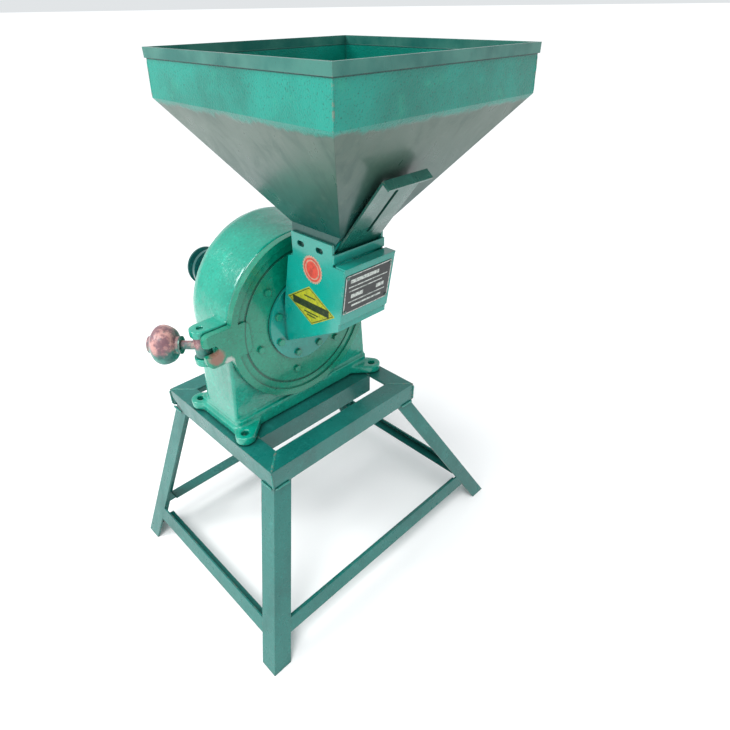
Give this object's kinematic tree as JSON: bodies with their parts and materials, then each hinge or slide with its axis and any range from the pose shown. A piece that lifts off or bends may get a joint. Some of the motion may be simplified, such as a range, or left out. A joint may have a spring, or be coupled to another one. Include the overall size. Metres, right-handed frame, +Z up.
{
  "type": "hammer mill",
  "caption": "Small belt-driven hammer mill on a splayed angle-iron stand, with a hinged door carrying a feed chute and square hopper, a swing-bolt latch and a sliding feed gate.",
  "frame": {"origin": "middle of the overall outline on the floor plane, under the stand", "axes": "+Z up, +X to the right of someone facing the door, +Y from the door back to the pulley"},
  "size_m": [0.629, 0.558, 0.923],
  "materials": {
    "stand_paint": "glossy enamel over rough welded angle iron",
    "casing_paint": "thick glossy enamel over a sand casting",
    "door_paint": "glossy enamel over a turned casting",
    "chute_paint": "glossy enamel over sheet steel",
    "hopper_paint": "brushed enamel over sheet steel, thin in places",
    "gate_paint": "enamel over sheet steel",
    "plate_black": "printed black plate with a bare edge",
    "machined_steel": "turned and ground",
    "screen_steel": "punched sheet",
    "bolt_steel": "zinc plated, slightly rusty",
    "pulley_iron": "cast, turned grooves",
    "brass_fitting": "turned",
    "seal_rubber": "felt and rubber ring",
    "ball_primer": "pink-brown primer over cast iron"
  },
  "bodies": {
    "mill_body": {"rail_front": "stand_paint", "rail_back": "stand_paint", "rail_left": "stand_paint", "rail_right": "stand_paint", "crossbar_front": "stand_paint", "crossbar_back": "stand_paint", "leg_front_left": "stand_paint", "leg_front_right": "stand_paint", "leg_back_left": "stand_paint", "leg_back_right": "stand_paint", "brace_front": "stand_paint", "brace_back": "stand_paint", "brace_left": "stand_paint", "brace_right": "stand_paint", "mill_casing": "casing_paint", "ring_screen": "screen_steel", "shaft_seal": "seal_rubber", "bearing_housing": "casing_paint", "bearing_outer_rings": "machined_steel", "bearing_cap": "casing_paint", "cap_bolts": "bolt_steel", "housing_bolts": "bolt_steel", "grease_cups": "brass_fitting", "latch_pin": "machined_steel", "hinge_pin": "machined_steel"},
    "rotor": {"main_shaft": "machined_steel", "rotor_disc": "machined_steel", "flat_hammers": "machined_steel", "round_pins": "machined_steel", "rotor_washer": "machined_steel", "rotor_nut": "bolt_steel", "pulley": "pulley_iron", "pulley_key": "machined_steel", "bearing_inner_rings": "machined_steel"},
    "door": {"door_plate": "door_paint", "stator_ring": "machined_steel", "stator_bolts": "bolt_steel", "feed_chute": "chute_paint", "chute_bolts": "bolt_steel", "front_panel": "chute_paint", "name_plate": "plate_black", "plate_rivets": "bolt_steel", "throat_baffle": "chute_paint", "hopper": "hopper_paint", "gate_guide": "chute_paint"},
    "gate": {"feed_gate": "gate_paint"},
    "latch_bolt": {"swing_bolt": "machined_steel"},
    "latch_washer": {"latch_washer": "bolt_steel"},
    "latch_nut": {"ball_nut": "ball_primer"}
  },
  "joints": [
    {"name": "rotor_spin", "type": "hinge", "parent": "mill_body", "child": "rotor", "pos_m": [-0.031, 0.119, 0.531], "axis": [0, 1, 0], "continuous": true},
    {"name": "door_swing", "type": "hinge", "parent": "mill_body", "child": "door", "pos_m": [0.139, 0.001, 0.531], "axis": [0, 0, 1], "range_deg": [0, 105]},
    {"name": "gate_slide", "type": "slide", "parent": "door", "child": "gate", "axis": [0, 0.6247, -0.7809], "range_m": [0, 0.08]},
    {"name": "latch_swing", "type": "hinge", "parent": "mill_body", "child": "latch_bolt", "pos_m": [-0.209, -0.011, 0.54], "axis": [0, 0, 1], "range_deg": [0, 137]},
    {"name": "nut_advance", "type": "slide", "parent": "latch_bolt", "child": "latch_washer", "axis": [0.682, -0.7314, 0], "range_m": [0, 0.00125]},
    {"name": "nut_spin", "type": "hinge", "parent": "latch_washer", "child": "latch_nut", "pos_m": [-0.23628, 0.01825, 0.54], "axis": [0.682, -0.7314, 0], "range_deg": [0, 216]}
  ],
  "couplings": [
    {"joint": "nut_advance", "follows": "nut_spin", "m_per_rad": 0.00031831}
  ]
}
